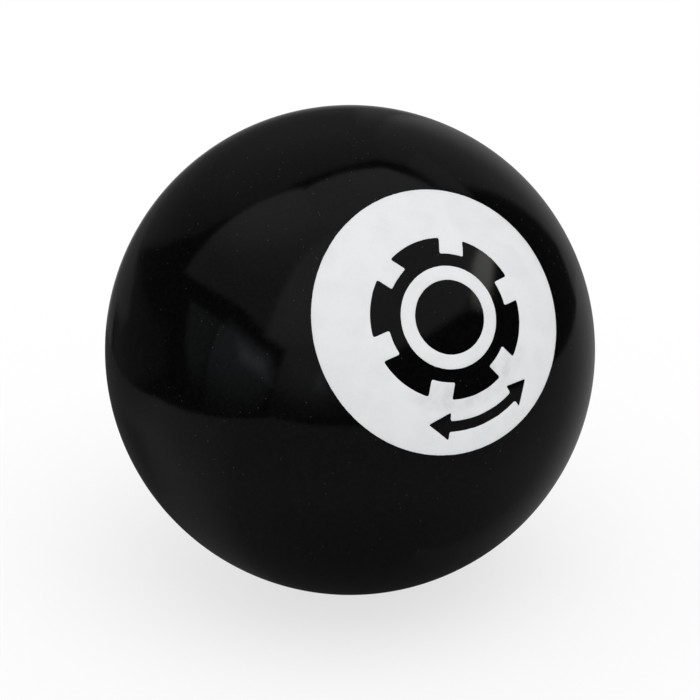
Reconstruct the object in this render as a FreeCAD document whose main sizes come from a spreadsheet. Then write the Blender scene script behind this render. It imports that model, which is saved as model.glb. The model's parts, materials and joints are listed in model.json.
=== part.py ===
"""Case opening friction ball: an air-filled ball of tacky rubber for turning screw-down watch case backs.

The assembly, from the outside in:
    print_field   one layer of white ink: a disc with an emblem left open, where the black ball shows
    print_ring    an island of the same ink inside the emblem
    ball_shell    the thick moulded rubber wall, flattened a little where the ball rests
    valve_seat    the rubber insert bonded into the wall opposite the print
    valve_core    the self-sealing plug in the seat, which takes a ball-pump needle and pulls straight out

Each piece is modelled with the ball's centre at its own origin, the print on +Z and the valve on -Z.
Its Placement then tips that axis so that the print looks forward (-Y) and up, and stands the ball on Z = 0.
"""

import FreeCAD, Part
import math
import os

import Sketcher
from FreeCAD import Vector

# The driving dimensions: alias, value in millimetres or degrees, what it is.
DIMENSIONS = (
    ("ball_diameter", 65.0, "outside of the ball"),
    ("wall_thickness", 4.5, "rubber wall, the same all round"),
    ("rest_flat_diameter", 7.0, "where the soft ball flattens on the bench"),
    ("print_tilt", 30.0, "elevation of the print's axis above the bench, degrees"),
    ("print_turn", 12.0, "turn of the artwork about the print's axis, degrees"),
    ("print_diameter", 33.6, "white disc, measured straight across"),
    ("ink_thickness", 0.08, "how far the ink stands on the rubber"),
    ("emblem_diameter", 20.4, "notched disc left open in the ink"),
    ("notch_count", 6, "notches round the emblem"),
    ("notch_width", 3.2, "one notch, across"),
    ("notch_depth", 2.1, "one notch, inward from the emblem's edge"),
    ("ring_diameter", 13.0, "white ring inside the emblem, outside diameter"),
    ("ring_width", 1.8, "white ring, radial width"),
    ("arrow_radius", 13.4, "middle of the curved arrow under the emblem"),
    ("arrow_width", 1.3, "the arrow's line"),
    ("arrow_half_sweep", 21.0, "from the arrow's middle to a head's base, degrees"),
    ("head_width", 3.4, "an arrow head's base"),
    ("head_length", 2.9, "an arrow head, base to tip"),
    ("seat_diameter", 8.4, "the seat's neck, through the wall"),
    ("seat_recess", 0.3, "the seat's outer face below the ball's surface"),
    ("flange_diameter", 15.0, "the seat's flange against the inside of the wall"),
    ("flange_thickness", 1.6, "the seat's flange"),
    ("boss_diameter", 9.2, "the seat's boss inside the ball"),
    ("boss_depth", 12.0, "from the ball's surface to the boss's inner end"),
    ("boss_chamfer", 0.6, "the boss's inner edge"),
    ("mouth_diameter", 5.8, "the seat's tapered hole at its mouth"),
    ("throat_diameter", 4.8, "the seat's tapered hole at its inner end"),
    ("pocket_depth", 1.45, "from the ball's surface to the floor under the core's head"),
    ("core_head_diameter", 7.0, "the core's head"),
    ("core_recess", 0.12, "the core's face below the ball's surface"),
    ("core_clearance", 0.05, "gap between the core and its seat"),
    ("core_depth", 12.4, "from the ball's surface to the core's inner end"),
    ("core_head_rounding", 0.2, "edge radius of the core's head"),
    ("core_tip_chamfer", 0.5, "the core's inner edge"),
    ("needle_diameter", 2.0, "the core's pilot hole for a ball-pump needle"),
    ("needle_depth", 8.0, "from the ball's surface to the pilot hole's blind end"),
    ("funnel_diameter", 3.4, "the lead-in of the pilot hole, at the ball's surface"),
    ("funnel_depth", 0.9, "from the ball's surface to the lead-in's foot"),
    ("shell_rounding", 0.35, "edge radius of the wall round the valve"),
)

# Sketcher's numbers for a sketch's own origin and vertical axis, and for the points of an edge.
ORIGIN, VERTICAL_AXIS = -1, -2
START, END, CENTRE = 1, 2, 3

doc = FreeCAD.newDocument("friction_ball")
# Full element names, so that a rounded edge is found again after a dimension changes.
doc.UseHasher = False


def make_sheet():
    """The driving dimensions as a spreadsheet, one row each."""
    sheet = doc.addObject("Spreadsheet::Sheet", "dims")
    for row, (alias, value, meaning) in enumerate(DIMENSIONS, start=1):
        sheet.set(f"A{row}", alias)
        sheet.set(f"B{row}", str(value))
        sheet.setAlias(f"B{row}", alias)
        sheet.set(f"C{row}", meaning)
    doc.recompute()
    return sheet


dims = make_sheet()


def size(alias):
    """A driving dimension as a number, for a sketch's starting shape."""
    return float(dims.get(alias))


BALL_RADIUS = size("ball_diameter") / 2
INNER_RADIUS = BALL_RADIUS - size("wall_thickness")
INK_RADIUS = BALL_RADIUS + size("ink_thickness")
# The same as expressions, for binding, and the height at which the ball's centre stands.
BALL_RADIUS_CELL = "dims.ball_diameter / 2"
INNER_RADIUS_CELL = "dims.ball_diameter / 2 - dims.wall_thickness"
INK_RADIUS_CELL = "dims.ball_diameter / 2 + dims.ink_thickness"
CENTRE_HEIGHT_CELL = "sqrt((dims.ball_diameter / 2) ^ 2 - (dims.rest_flat_diameter / 2) ^ 2)"


def height_on(radius, across):
    """How far from the centre a circle of that radius is, at a distance across from the axis."""
    return math.sqrt(radius**2 - across**2)


def degrees_on(radius, across):
    """Where the point at a distance across from the axis lies on a circle, in degrees from the equator."""
    return math.degrees(math.acos(across / radius))


def polar(radius, degrees):
    return (radius * math.cos(math.radians(degrees)), radius * math.sin(math.radians(degrees)))


class Profile:
    """A sketch on one of its body's origin planes, drawn edge by edge and bound to the sheet."""

    def __init__(self, body, plane_role, name):
        self.sketch = body.newObject("Sketcher::SketchObject", name)
        plane = next(f for f in body.Origin.OriginFeatures if f.Role == plane_role)
        self.sketch.AttachmentSupport = [(plane, "")]
        self.sketch.MapMode = "FlatFace"

    def line(self, start, end):
        return self.sketch.addGeometry(Part.LineSegment(Vector(*start, 0), Vector(*end, 0)))

    def lines(self, *points):
        """Lines from point to point, joined end to end."""
        edges = [self.line(a, b) for a, b in zip(points, points[1:])]
        for edge, following in zip(edges, edges[1:]):
            self.add("Coincident", edge, END, following, START)
        return edges

    def arc(self, radius, from_degrees, to_degrees):
        """An arc about the sketch's origin, anticlockwise."""
        circle = Part.Circle(Vector(0, 0, 0), Vector(0, 0, 1), radius)
        shape = Part.ArcOfCircle(circle, math.radians(from_degrees), math.radians(to_degrees))
        edge = self.sketch.addGeometry(shape)
        self.add("Coincident", edge, CENTRE, ORIGIN, START)
        return edge

    def circle(self, radius):
        edge = self.sketch.addGeometry(Part.Circle(Vector(0, 0, 0), Vector(0, 0, 1), radius))
        self.add("Coincident", edge, CENTRE, ORIGIN, START)
        return edge

    def add(self, kind, *references):
        self.sketch.addConstraint(Sketcher.Constraint(kind, *references))

    def add_each(self, kind, *edges):
        for edge in edges:
            self.add(kind, edge)

    def join(self, *pairs):
        """Joins ends in pairs, each one (edge, end, edge, end)."""
        for pair in pairs:
            self.add("Coincident", *pair)

    def on_axis(self, edge):
        """Puts both ends of an edge on the axis of revolution."""
        for end in (START, END):
            self.add("PointOnObject", edge, end, VERTICAL_AXIS)

    def bind(self, kind, *references, value, to):
        """A dimension that starts at a value and follows an expression over the sheet."""
        index = self.sketch.addConstraint(Sketcher.Constraint(kind, *references, value))
        self.sketch.setExpression(f"Constraints[{index}]", to)

    def across(self, edge, end, value, to):
        """How far a point is from the axis of revolution."""
        self.bind("DistanceX", ORIGIN, START, edge, end, value=value, to=to)

    def below(self, edge, end, value, to):
        """How far a point is below the ball's centre."""
        self.bind("DistanceY", edge, end, ORIGIN, START, value=value, to=to)


def new_body(name):
    body = doc.addObject("PartDesign::Body", name)
    body.Label = name
    return body


def place(part):
    """Turns and tips a piece from the ball's own frame into the standing ball's, bound to the sheet."""
    part.setExpression(
        "Placement",
        f"placement(vector(0; 0; {CENTRE_HEIGHT_CELL});"
        " rotation(vector(1; 0; 0); 90 - dims.print_tilt) * rotation(vector(0; 0; 1); dims.print_turn))",
    )


def revolve(body, profile, name, kind="PartDesign::Revolution"):
    """Turns a profile once round the body's Z axis."""
    feature = body.newObject(kind, name)
    feature.Profile = profile.sketch
    feature.ReferenceAxis = (profile.sketch, ["V_Axis"])
    feature.Angle = 360
    doc.recompute()
    return feature


def groove(body, profile, name):
    """Turns a profile out of the body, and makes sure that it cut."""
    before = body.Shape.Volume
    feature = revolve(body, profile, name, "PartDesign::Groove")
    assert feature.Shape.Volume < before, f"{name} cut nothing"
    return feature


def cut_ink(body, profile, name):
    """Pockets a profile of the XY plane up through the ink above it, and makes sure that it cut."""
    before = body.Shape.Volume
    feature = body.newObject("PartDesign::Pocket", name)
    feature.Profile = profile.sketch
    feature.Type = "ThroughAll"
    feature.Reversed = True
    doc.recompute()
    assert feature.Shape.Volume < before, f"{name} cut nothing"
    return feature


def repeat(body, pattern, before):
    """Makes a pattern the body's last feature, and makes sure that it cut more than the one it repeats."""
    body.Tip = pattern
    doc.recompute()
    assert pattern.Shape.Volume < before.Shape.Volume, f"{pattern.Name} repeated nothing"


def round_edge_at(feature, radius, height):
    """The name of a turned feature's circular edge with that radius and height."""
    for number, edge in enumerate(feature.Shape.Edges, start=1):
        if edge.Degenerated or not isinstance(edge.Curve, Part.Circle):
            continue
        if abs(edge.Curve.Radius - radius) < 1e-4 and abs(edge.Curve.Center.z - height) < 1e-4:
            return f"Edge{number}"
    raise ValueError(f"{feature.Name} has no round edge of radius {radius} at height {height}")


def finish_edge(body, kind, name, feature, edge, measure, cell):
    """A Fillet or Chamfer on one edge, whose Radius or Size follows a cell."""
    finished = body.newObject(kind, name)
    finished.Base = (feature, [edge])
    finished.setExpression(measure, cell)
    doc.recompute()
    return finished


# --- ball_shell: the wall, turned as one half section, then flattened where it rests ---


def make_ball_shell():
    wall = new_body("turned_wall")
    turn_wall(wall)
    place(wall)

    shell = doc.addObject("Part::Cut", "ball_shell")
    shell.Label = "ball_shell"
    shell.Base = wall
    shell.Tool = make_bench()
    doc.recompute()
    return shell


def turn_wall(body):
    """The hollow sphere with the round hole that the valve sits in."""
    neck = size("seat_diameter") / 2
    profile = Profile(body, "XZ_Plane", "wall_section")
    outside = profile.arc(BALL_RADIUS, -degrees_on(BALL_RADIUS, neck), 90)
    inside = profile.arc(INNER_RADIUS, -degrees_on(INNER_RADIUS, neck), 90)
    crown = profile.line((0, BALL_RADIUS), (0, INNER_RADIUS))
    hole = profile.line((neck, -height_on(INNER_RADIUS, neck)), (neck, -height_on(BALL_RADIUS, neck)))
    profile.join(
        (outside, END, crown, START),
        (crown, END, inside, END),
        (inside, START, hole, START),
        (hole, END, outside, START),
    )
    profile.on_axis(crown)
    profile.add("Vertical", hole)
    profile.bind("Radius", outside, value=BALL_RADIUS, to=BALL_RADIUS_CELL)
    profile.bind("Radius", inside, value=INNER_RADIUS, to=INNER_RADIUS_CELL)
    profile.across(hole, START, neck, "dims.seat_diameter / 2")
    turned = revolve(body, profile, "wall_turned")
    rim = round_edge_at(turned, neck, -height_on(BALL_RADIUS, neck))
    finish_edge(body, "PartDesign::Fillet", "valve_rim", turned, rim, "Radius", "dims.shell_rounding")


def make_bench():
    """A block with its top at Z = 0, which takes the resting flat off the ball."""
    bench = doc.addObject("Part::Box", "bench")
    for side in ("Length", "Width", "Height"):
        bench.setExpression(side, "dims.ball_diameter")
    bench.setExpression("Placement.Base.x", "-dims.ball_diameter / 2")
    bench.setExpression("Placement.Base.y", "-dims.ball_diameter / 2")
    bench.setExpression("Placement.Base.z", "-dims.ball_diameter")
    return bench


# --- the print: ink on the ball's surface, with the artwork left open ---


def make_print_field():
    body = new_body("print_field")
    turn_ink_cap(body)
    open_emblem_middle(body)
    open_emblem_lands(body)
    open_arrow_line(body)
    open_arrow_heads(body)
    place(body)
    return body


def turn_ink_cap(body):
    """The whole white disc, before the artwork."""
    rim = size("print_diameter") / 2
    profile = Profile(body, "XZ_Plane", "cap_section")
    top = profile.arc(INK_RADIUS, degrees_on(INK_RADIUS, rim), 90)
    foot = profile.arc(BALL_RADIUS, degrees_on(BALL_RADIUS, rim), 90)
    middle = profile.line((0, INK_RADIUS), (0, BALL_RADIUS))
    edge = profile.line((rim, height_on(BALL_RADIUS, rim)), (rim, height_on(INK_RADIUS, rim)))
    profile.join(
        (top, END, middle, START),
        (middle, END, foot, END),
        (foot, START, edge, START),
        (edge, END, top, START),
    )
    profile.on_axis(middle)
    profile.add("Vertical", edge)
    profile.bind("Radius", top, value=INK_RADIUS, to=INK_RADIUS_CELL)
    profile.bind("Radius", foot, value=BALL_RADIUS, to=BALL_RADIUS_CELL)
    profile.across(edge, START, rim, "dims.print_diameter / 2")
    revolve(body, profile, "cap")


def open_emblem_middle(body):
    """The emblem's round middle, inside its notches."""
    radius = size("emblem_diameter") / 2 - size("notch_depth")
    profile = Profile(body, "XY_Plane", "emblem_middle_outline")
    edge = profile.circle(radius)
    profile.bind("Radius", edge, value=radius, to="dims.emblem_diameter / 2 - dims.notch_depth")
    cut_ink(body, profile, "emblem_middle")


def open_emblem_lands(body):
    """The emblem's rim: the land between two notches, repeated round the axis."""
    outer = size("emblem_diameter") / 2
    inner = outer - size("notch_depth")
    half_notch = size("notch_width") / 2
    step = 360 / size("notch_count")
    outer_start = math.degrees(math.asin(half_notch / outer))
    inner_start = math.degrees(math.asin(half_notch / inner))

    profile = Profile(body, "XY_Plane", "emblem_land_outline")
    rim = profile.arc(outer, outer_start, step - outer_start)
    root = profile.arc(inner, inner_start, step - inner_start)
    first = profile.line(polar(inner, inner_start), polar(outer, outer_start))
    last = profile.line(polar(outer, step - outer_start), polar(inner, step - inner_start))
    profile.join(
        (root, START, first, START),
        (first, END, rim, START),
        (rim, END, last, START),
        (last, END, root, END),
    )
    profile.add("Horizontal", first)
    profile.bind("Radius", rim, value=outer, to="dims.emblem_diameter / 2")
    profile.bind("Radius", root, value=inner, to="dims.emblem_diameter / 2 - dims.notch_depth")
    profile.bind("DistanceY", ORIGIN, START, first, START, value=half_notch, to="dims.notch_width / 2")
    profile.bind("Distance", ORIGIN, START, last, value=half_notch, to="dims.notch_width / 2")
    profile.bind(
        "Angle", first, START, last, END, value=math.radians(step), to="360 deg / dims.notch_count"
    )
    land = cut_ink(body, profile, "emblem_land")

    lands = body.newObject("PartDesign::PolarPattern", "emblem_lands")
    lands.Originals = [land]
    lands.Axis = (profile.sketch, ["N_Axis"])
    lands.Angle = 360
    lands.setExpression("Occurrences", "dims.notch_count")
    repeat(body, lands, land)


def open_arrow_line(body):
    """The curved line of the two-headed arrow, centred below the emblem."""
    middle, half_width = size("arrow_radius"), size("arrow_width") / 2
    inner, outer = middle - half_width, middle + half_width
    left, right = -90 - size("arrow_half_sweep"), -90 + size("arrow_half_sweep")
    profile = Profile(body, "XY_Plane", "arrow_line_outline")
    near = profile.arc(inner, left, right)
    far = profile.arc(outer, left, right)
    left_end = profile.line(polar(inner, left), polar(outer, left))
    right_end = profile.line(polar(inner, right), polar(outer, right))
    profile.join(
        (near, START, left_end, START),
        (left_end, END, far, START),
        (near, END, right_end, START),
        (right_end, END, far, END),
    )
    for end in (left_end, right_end):
        profile.add("PointOnObject", ORIGIN, START, end)
    profile.add("Symmetric", far, START, far, END, VERTICAL_AXIS)
    profile.bind("Radius", near, value=inner, to="dims.arrow_radius - dims.arrow_width / 2")
    profile.bind("Radius", far, value=outer, to="dims.arrow_radius + dims.arrow_width / 2")
    profile.across(
        far,
        END,
        polar(outer, right)[0],
        "(dims.arrow_radius + dims.arrow_width / 2) * sin(dims.arrow_half_sweep * 1 deg)",
    )
    cut_ink(body, profile, "arrow_line")


def open_arrow_heads(body):
    """The triangular head past the line's right end, and its mirror image."""
    middle, half_width = size("arrow_radius"), size("head_width") / 2
    base = -90 + size("arrow_half_sweep")
    tip = base + math.degrees(math.asin(size("head_length") / middle))
    profile = Profile(body, "XY_Plane", "arrow_head_outline")
    inner_corner, outer_corner = polar(middle - half_width, base), polar(middle + half_width, base)
    foot, outer_side, inner_side = profile.lines(
        inner_corner, outer_corner, polar(middle, tip), inner_corner
    )
    profile.add("Coincident", inner_side, END, foot, START)
    profile.add("PointOnObject", ORIGIN, START, foot)
    profile.bind(
        "Distance",
        ORIGIN,
        START,
        foot,
        START,
        value=middle - half_width,
        to="dims.arrow_radius - dims.head_width / 2",
    )
    profile.bind("Distance", foot, START, foot, END, value=2 * half_width, to="dims.head_width")
    profile.across(
        foot,
        END,
        outer_corner[0],
        "(dims.arrow_radius + dims.head_width / 2) * sin(dims.arrow_half_sweep * 1 deg)",
    )
    profile.bind("Distance", outer_side, END, foot, value=size("head_length"), to="dims.head_length")
    profile.bind("Distance", ORIGIN, START, outer_side, END, value=middle, to="dims.arrow_radius")
    head = cut_ink(body, profile, "arrow_head")

    heads = body.newObject("PartDesign::Mirrored", "arrow_heads")
    heads.Originals = [head]
    heads.MirrorPlane = (profile.sketch, ["V_Axis"])
    repeat(body, heads, head)


def make_print_ring():
    """The white ring that the emblem surrounds."""
    body = new_body("print_ring")
    outer = size("ring_diameter") / 2
    inner = outer - size("ring_width")
    profile = Profile(body, "XZ_Plane", "ring_section")
    top = profile.arc(INK_RADIUS, degrees_on(INK_RADIUS, outer), degrees_on(INK_RADIUS, inner))
    foot = profile.arc(BALL_RADIUS, degrees_on(BALL_RADIUS, outer), degrees_on(BALL_RADIUS, inner))
    near = profile.line((inner, height_on(INK_RADIUS, inner)), (inner, height_on(BALL_RADIUS, inner)))
    far = profile.line((outer, height_on(BALL_RADIUS, outer)), (outer, height_on(INK_RADIUS, outer)))
    profile.join(
        (top, END, near, START),
        (near, END, foot, END),
        (foot, START, far, START),
        (far, END, top, START),
    )
    profile.add_each("Vertical", near, far)
    profile.bind("Radius", top, value=INK_RADIUS, to=INK_RADIUS_CELL)
    profile.bind("Radius", foot, value=BALL_RADIUS, to=BALL_RADIUS_CELL)
    profile.across(near, START, inner, "dims.ring_diameter / 2 - dims.ring_width")
    profile.across(far, START, outer, "dims.ring_diameter / 2")
    revolve(body, profile, "ring")
    place(body)
    return body


# --- valve_seat: a flanged rubber insert bonded into the wall ---


def make_valve_seat():
    body = new_body("valve_seat")
    turn_seat_neck(body)
    turn_seat_flange(body)
    turn_seat_hole(body)
    place(body)
    return body


def turn_seat_neck(body):
    """The neck through the wall, and the wider boss behind it inside the ball."""
    neck, boss = size("seat_diameter") / 2, size("boss_diameter") / 2
    face_radius = BALL_RADIUS - size("seat_recess")
    end = BALL_RADIUS - size("boss_depth")
    chamfer = size("boss_chamfer")
    profile = Profile(body, "XZ_Plane", "seat_section")
    face = profile.arc(face_radius, -90, -degrees_on(face_radius, neck))
    step = profile.arc(INNER_RADIUS, -degrees_on(INNER_RADIUS, neck), -degrees_on(INNER_RADIUS, boss))
    side = profile.line((neck, -height_on(face_radius, neck)), (neck, -height_on(INNER_RADIUS, neck)))
    wall, bevel, close, axis = profile.lines(
        (boss, -height_on(INNER_RADIUS, boss)),
        (boss, -end - chamfer),
        (boss - chamfer, -end),
        (0, -end),
        (0, -face_radius),
    )
    profile.join(
        (axis, END, face, START),
        (face, END, side, START),
        (side, END, step, START),
        (step, END, wall, START),
    )
    profile.on_axis(axis)
    profile.add_each("Vertical", side, wall)
    profile.add("Horizontal", close)
    profile.bind("Radius", face, value=face_radius, to=f"{BALL_RADIUS_CELL} - dims.seat_recess")
    profile.bind("Radius", step, value=INNER_RADIUS, to=INNER_RADIUS_CELL)
    profile.across(side, START, neck, "dims.seat_diameter / 2")
    profile.across(wall, START, boss, "dims.boss_diameter / 2")
    profile.below(close, START, end, f"{BALL_RADIUS_CELL} - dims.boss_depth")
    profile.bind("DistanceX", bevel, END, bevel, START, value=chamfer, to="dims.boss_chamfer")
    profile.bind("DistanceY", bevel, START, bevel, END, value=chamfer, to="dims.boss_chamfer")
    revolve(body, profile, "neck")


def turn_seat_flange(body):
    """The flange, a disc curved to lie against the inside of the wall."""
    rim, root = size("flange_diameter") / 2, size("boss_diameter") / 4
    back_radius = INNER_RADIUS - size("flange_thickness")
    profile = Profile(body, "XZ_Plane", "flange_section")
    front = profile.arc(INNER_RADIUS, -degrees_on(INNER_RADIUS, root), -degrees_on(INNER_RADIUS, rim))
    back = profile.arc(back_radius, -degrees_on(back_radius, root), -degrees_on(back_radius, rim))
    edge = profile.line((rim, -height_on(INNER_RADIUS, rim)), (rim, -height_on(back_radius, rim)))
    close = profile.line((root, -height_on(back_radius, root)), (root, -height_on(INNER_RADIUS, root)))
    profile.join(
        (front, END, edge, START),
        (edge, END, back, END),
        (back, START, close, START),
        (close, END, front, START),
    )
    profile.add_each("Vertical", edge, close)
    profile.bind("Radius", front, value=INNER_RADIUS, to=INNER_RADIUS_CELL)
    profile.bind("Radius", back, value=back_radius, to=f"{INNER_RADIUS_CELL} - dims.flange_thickness")
    profile.across(edge, START, rim, "dims.flange_diameter / 2")
    profile.across(close, START, root, "dims.boss_diameter / 4")
    revolve(body, profile, "flange")


def turn_seat_hole(body):
    """The pocket for the core's head and the tapered hole for its stem."""
    pocket = size("core_head_diameter") / 2 + size("core_clearance")
    mouth, throat = size("mouth_diameter") / 2, size("throat_diameter") / 2
    floor = BALL_RADIUS - size("pocket_depth")
    end = BALL_RADIUS - size("boss_depth")
    profile = Profile(body, "XZ_Plane", "seat_hole_section")
    outside, side, ledge, taper, inside, axis = profile.lines(
        (0, -BALL_RADIUS),
        (pocket, -BALL_RADIUS),
        (pocket, -floor),
        (mouth, -floor),
        (throat, -end),
        (0, -end),
        (0, -BALL_RADIUS),
    )
    profile.add("Coincident", axis, END, outside, START)
    profile.on_axis(axis)
    profile.add_each("Horizontal", outside, ledge, inside)
    profile.add("Vertical", side)
    profile.across(side, START, pocket, "dims.core_head_diameter / 2 + dims.core_clearance")
    profile.across(ledge, END, mouth, "dims.mouth_diameter / 2")
    profile.across(inside, START, throat, "dims.throat_diameter / 2")
    profile.below(outside, START, BALL_RADIUS, BALL_RADIUS_CELL)
    profile.below(ledge, START, floor, f"{BALL_RADIUS_CELL} - dims.pocket_depth")
    profile.below(inside, START, end, f"{BALL_RADIUS_CELL} - dims.boss_depth")
    groove(body, profile, "seat_hole")


# --- valve_core: the tapered, self-sealing plug ---


def make_valve_core():
    body = new_body("valve_core")
    turn_core(body)
    turn_needle_hole(body)
    place(body)
    return body


def taper_radius(depth):
    """The seat's tapered hole at a depth below the ball's surface."""
    mouth, throat = size("mouth_diameter") / 2, size("throat_diameter") / 2
    share = (depth - size("pocket_depth")) / (size("boss_depth") - size("pocket_depth"))
    return mouth + (throat - mouth) * share


def taper_radius_cell(depth):
    """The same as an expression, from an expression for the depth."""
    share = f"({depth} - dims.pocket_depth) / (dims.boss_depth - dims.pocket_depth)"
    return f"(dims.mouth_diameter + (dims.throat_diameter - dims.mouth_diameter) * {share}) / 2"


def turn_core(body):
    """Head and tapered stem in one section, then the head's rim rounded and the tip bevelled."""
    head, clearance = size("core_head_diameter") / 2, size("core_clearance")
    face_radius = BALL_RADIUS - size("core_recess")
    ledge_depth = size("pocket_depth") - clearance
    under = BALL_RADIUS - ledge_depth
    end = BALL_RADIUS - size("core_depth")
    stem = taper_radius(ledge_depth) - clearance
    tip = taper_radius(size("core_depth")) - clearance
    profile = Profile(body, "XZ_Plane", "core_section")
    face = profile.arc(face_radius, -90, -degrees_on(face_radius, head))
    rim, ledge, taper, close, axis = profile.lines(
        (head, -height_on(face_radius, head)),
        (head, -under),
        (stem, -under),
        (tip, -end),
        (0, -end),
        (0, -face_radius),
    )
    profile.join((axis, END, face, START), (face, END, rim, START))
    profile.on_axis(axis)
    profile.add("Vertical", rim)
    profile.add_each("Horizontal", ledge, close)
    ledge_depth_cell = "(dims.pocket_depth - dims.core_clearance)"
    stem_cell = f"{taper_radius_cell(ledge_depth_cell)} - dims.core_clearance"
    tip_cell = f"{taper_radius_cell('dims.core_depth')} - dims.core_clearance"
    profile.bind("Radius", face, value=face_radius, to=f"{BALL_RADIUS_CELL} - dims.core_recess")
    profile.across(rim, START, head, "dims.core_head_diameter / 2")
    profile.across(ledge, END, stem, stem_cell)
    profile.across(close, START, tip, tip_cell)
    profile.below(ledge, START, under, f"{BALL_RADIUS_CELL} - {ledge_depth_cell}")
    profile.below(close, START, end, f"{BALL_RADIUS_CELL} - dims.core_depth")
    turned = revolve(body, profile, "plug")

    edge = round_edge_at(turned, head, -height_on(face_radius, head))
    rounded = finish_edge(
        body, "PartDesign::Fillet", "head_rim", turned, edge, "Radius", "dims.core_head_rounding"
    )
    edge = round_edge_at(rounded, tip, -end)
    finish_edge(body, "PartDesign::Chamfer", "tip_bevel", rounded, edge, "Size", "dims.core_tip_chamfer")


def turn_needle_hole(body):
    """The blind pilot hole for the needle, with a conical lead-in."""
    needle, mouth = size("needle_diameter") / 2, size("funnel_diameter") / 2
    foot = BALL_RADIUS - size("funnel_depth")
    end = BALL_RADIUS - size("needle_depth")
    profile = Profile(body, "XZ_Plane", "needle_hole_section")
    outside, funnel, wall, close, axis = profile.lines(
        (0, -BALL_RADIUS),
        (mouth, -BALL_RADIUS),
        (needle, -foot),
        (needle, -end),
        (0, -end),
        (0, -BALL_RADIUS),
    )
    profile.add("Coincident", axis, END, outside, START)
    profile.on_axis(axis)
    profile.add_each("Horizontal", outside, close)
    profile.add("Vertical", wall)
    profile.across(funnel, START, mouth, "dims.funnel_diameter / 2")
    profile.across(wall, START, needle, "dims.needle_diameter / 2")
    profile.below(outside, START, BALL_RADIUS, BALL_RADIUS_CELL)
    profile.below(wall, START, foot, f"{BALL_RADIUS_CELL} - dims.funnel_depth")
    profile.below(wall, END, end, f"{BALL_RADIUS_CELL} - dims.needle_depth")
    groove(body, profile, "needle_hole")


# --- the whole ball, checked and written ---


def check_and_write(pieces):
    """Refuses a failed feature or an unsound shape, then writes one STEP file for each piece."""
    doc.recompute()
    failed = [o.Name for o in doc.Objects if "Invalid" in o.State or "Error" in o.State]
    assert not failed, f"failed: {failed}"
    os.makedirs("parts", exist_ok=True)
    for piece in pieces:
        shape = piece.Shape
        assert not shape.isNull() and shape.isValid(), f"{piece.Label} is unsound"
        assert len(shape.Solids) == 1, f"{piece.Label} isn't one solid"
        shape.exportStep(f"parts/{piece.Label}.step")
        print(f"{piece.Label}: {shape.Volume:.2f} mm3")


check_and_write(
    [
        make_ball_shell(),
        make_print_field(),
        make_print_ring(),
        make_valve_seat(),
        make_valve_core(),
    ]
)
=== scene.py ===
"""Looks of the case opening friction ball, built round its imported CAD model.

The ball is black and glossy, so most of its look is the room that it reflects: the studio's cards and
the table, further down. Every piece is a closed mesh in metres, in the row frame:
    rubber_ball    the moulded wall: outer skin, valve hole and the hollow inside
    ink_field      the printed white disc with the emblem and the arrow left open
    ink_ring       the island of ink inside the emblem
    valve_insert   the seat bonded into the wall, opposite the print
    valve_plug     the core that pulls out of the seat
"""

import json
import math
from typing import NamedTuple

import bmesh
import bpy
import numpy as np
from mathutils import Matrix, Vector, noise
from mathutils.geometry import delaunay_2d_cdt


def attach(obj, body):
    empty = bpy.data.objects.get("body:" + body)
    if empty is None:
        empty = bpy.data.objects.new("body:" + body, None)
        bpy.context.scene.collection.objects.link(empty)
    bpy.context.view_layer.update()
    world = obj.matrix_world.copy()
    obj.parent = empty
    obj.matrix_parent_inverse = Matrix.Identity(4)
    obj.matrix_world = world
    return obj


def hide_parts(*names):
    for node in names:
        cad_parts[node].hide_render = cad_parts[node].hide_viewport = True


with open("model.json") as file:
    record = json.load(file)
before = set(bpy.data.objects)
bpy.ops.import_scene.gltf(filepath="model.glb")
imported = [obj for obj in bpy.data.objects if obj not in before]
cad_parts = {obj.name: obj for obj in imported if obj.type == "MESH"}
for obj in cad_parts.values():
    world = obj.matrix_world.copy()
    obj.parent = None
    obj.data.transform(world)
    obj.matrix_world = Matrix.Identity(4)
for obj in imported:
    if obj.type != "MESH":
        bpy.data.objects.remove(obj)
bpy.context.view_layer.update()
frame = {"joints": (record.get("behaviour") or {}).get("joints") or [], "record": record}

MM = 0.001

# --- where things are: the valve's axis and port come from the frame, and the print looks the other way ---

VALVE_AXIS = Vector(frame["joints"][0]["axis"]).normalized()
PRINT_AXIS = -VALVE_AXIS
NEEDLE_PORT = next(m for m in frame["record"]["mounts"] if m["name"] == "needle_port")
PORT_PLACE = Vector(NEEDLE_PORT["pos_m"])
BALL_CENTRE = PORT_PLACE - VALVE_AXIS * (PORT_PLACE.y / VALVE_AXIS.y)

# --- the ball, in metres ---

BALL_RADIUS = 32.48 * MM
WALL = 4.5 * MM
INNER_RADIUS = BALL_RADIUS - WALL
REST_SOFTNESS = 0.05 * MM
RIPPLE_DEPTH = 0.02 * MM
RIPPLE_LENGTH = 12 * MM
BALL_SEGMENTS = 300

# --- the print, measured straight across the ball, in the artwork's own plane ---

ARTWORK_TURN = math.radians(12)
ARTWORK_RIGHT = Vector((1, 0, 0))
ARTWORK_UP = PRINT_AXIS.cross(ARTWORK_RIGHT)
ARTWORK_X = ARTWORK_RIGHT * math.cos(ARTWORK_TURN) + ARTWORK_UP * math.sin(ARTWORK_TURN)
ARTWORK_Y = ARTWORK_UP * math.cos(ARTWORK_TURN) - ARTWORK_RIGHT * math.sin(ARTWORK_TURN)
PRINT_RADIUS = 16.8 * MM
EMBLEM_RADIUS = 10.2 * MM
NOTCH_COUNT = 6
NOTCH_WIDTH = 3.2 * MM
NOTCH_DEPTH = 2.1 * MM
RING_RADIUS = 6.5 * MM
RING_WIDTH = 1.8 * MM
ARROW_RADIUS = 13.4 * MM
ARROW_WIDTH = 1.3 * MM
ARROW_HALF_SWEEP = 21
ARROW_HEAD_WIDTH = 3.4 * MM
ARROW_HEAD_LENGTH = 2.9 * MM
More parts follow.
